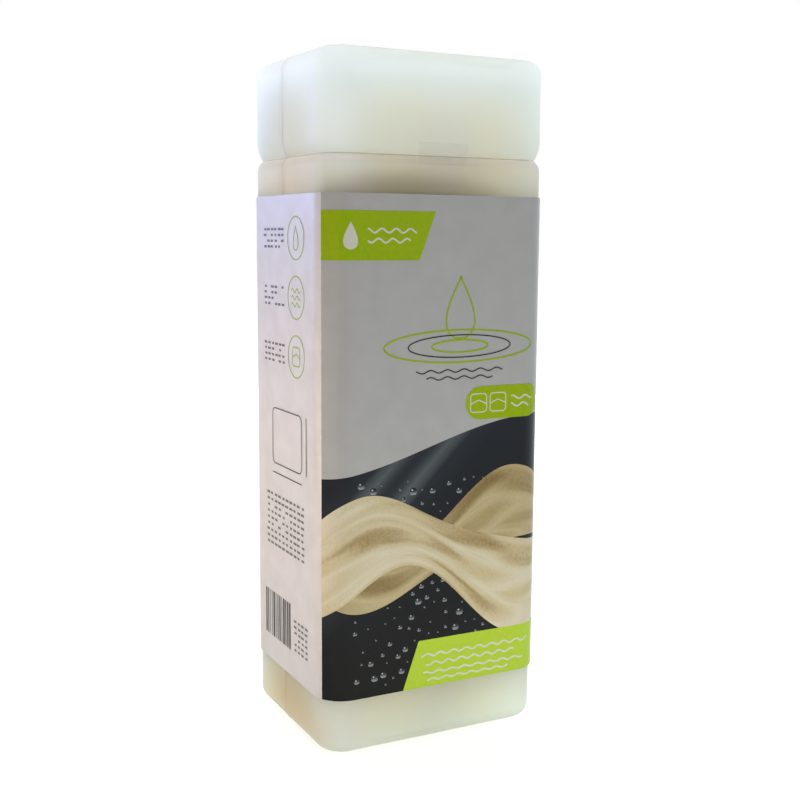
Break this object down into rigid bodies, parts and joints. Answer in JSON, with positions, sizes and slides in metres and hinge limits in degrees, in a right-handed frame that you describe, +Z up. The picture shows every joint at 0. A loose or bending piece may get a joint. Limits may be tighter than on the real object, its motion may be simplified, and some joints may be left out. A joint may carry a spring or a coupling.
{
  "type": "lidded tub of chamois leathers",
  "caption": "Tall rounded-rectangle plastic tub with a pull-off lid, a printed card sleeve, a clear seal tape and rolled chamois leathers inside.",
  "frame": {"origin": "centre of the base, on the surface that the tub stands on", "axes": "+Z up along the tub, -Y out of the front of the sleeve, +X to the right seen from the front"},
  "size_m": [0.0864, 0.0706, 0.236],
  "materials": {
    "natural_polyethylene": "satin",
    "printed_card": "satin",
    "clear_film": "gloss",
    "chamois": "matte"
  },
  "bodies": {
    "tub": {"tub": "natural_polyethylene"},
    "lid": {"lid": "natural_polyethylene", "seal_tape": "clear_film"},
    "sleeve": {"label_sleeve": "printed_card"},
    "leather_left": {"chamois_leather_left": "chamois"},
    "leather_right": {"chamois_leather_right": "chamois"}
  },
  "joints": [
    {"name": "lid_lift", "type": "slide", "parent": "tub", "child": "lid", "axis": [0, 0, 1], "range_m": [0, 0.12]},
    {"name": "sleeve_slide", "type": "slide", "parent": "tub", "child": "sleeve", "axis": [0, 0, 1], "range_m": [-0.02, 0.217]},
    {"name": "leather_left_slide", "type": "slide", "parent": "tub", "child": "leather_left", "axis": [0, 0, 1], "range_m": [0, 0.009]},
    {"name": "leather_right_slide", "type": "slide", "parent": "tub", "child": "leather_right", "axis": [0, 0, 1], "range_m": [0, 0.009]}
  ]
}
